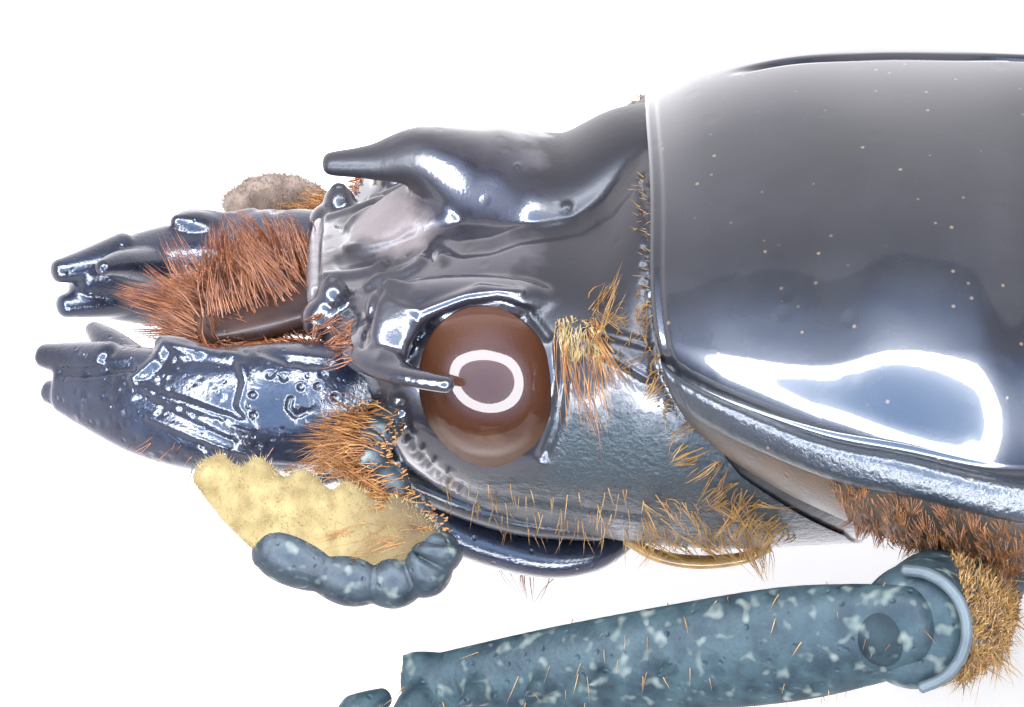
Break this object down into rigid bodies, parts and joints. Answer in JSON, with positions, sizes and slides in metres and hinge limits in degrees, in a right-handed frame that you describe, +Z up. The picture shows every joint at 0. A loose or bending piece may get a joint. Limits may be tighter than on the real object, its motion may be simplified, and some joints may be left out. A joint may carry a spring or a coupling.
{
  "type": "horned bess beetle figure",
  "caption": "Life-size black beetle standing on its claws, with a free-tipped horn, open jaws, a glossy grooved prothorax and ribbed wing cases.",
  "frame": {"origin": "the floor under the middle of the beetle's length and width, level with the flats of its feet", "axes": "the head points along -X, +Y is the beetle's right side and +Z is up"},
  "size_m": [0.042, 0.0307, 0.0096],
  "materials": {
    "black_shell": "polished black cuticle with a faint blue sheen",
    "underside": "finely wrinkled dull black cuticle",
    "leg": "satin blue-black cuticle",
    "eye": "smooth brown lens surface",
    "club": "dense pale yellow down"
  },
  "bodies": {
    "root": {"abdomen": "underside", "antenna_left_club": "club", "antenna_left_stalk": "black_shell", "antenna_right_club": "club", "antenna_right_stalk": "black_shell", "coxa_fore_left": "leg", "coxa_fore_right": "leg", "coxa_hind_left": "leg", "coxa_hind_right": "leg", "coxa_mid_left": "leg", "coxa_mid_right": "leg", "elytron_left": "black_shell", "elytron_right": "black_shell", "eye_left": "eye", "eye_right": "eye", "femur_fore_left": "leg", "femur_fore_right": "leg", "femur_hind_left": "leg", "femur_hind_right": "leg", "femur_mid_left": "leg", "femur_mid_right": "leg", "head": "black_shell", "horn": "black_shell", "labial_palp_left": "black_shell", "labial_palp_right": "black_shell", "labium": "black_shell", "labrum": "black_shell", "mandible_left": "black_shell", "mandible_right": "black_shell", "maxillary_palp_left": "black_shell", "maxillary_palp_right": "black_shell", "metasternum": "underside", "pedicel": "black_shell", "pronotum": "black_shell", "prosternum": "underside", "scutellum": "black_shell", "tarsus_fore_left": "leg", "tarsus_fore_right": "leg", "tarsus_hind_left": "leg", "tarsus_hind_right": "leg", "tarsus_mid_left": "leg", "tarsus_mid_right": "leg", "tibia_fore_left": "leg", "tibia_fore_right": "leg", "tibia_hind_left": "leg", "tibia_hind_right": "leg", "tibia_mid_left": "leg", "tibia_mid_right": "leg"}
  },
  "joints": []
}
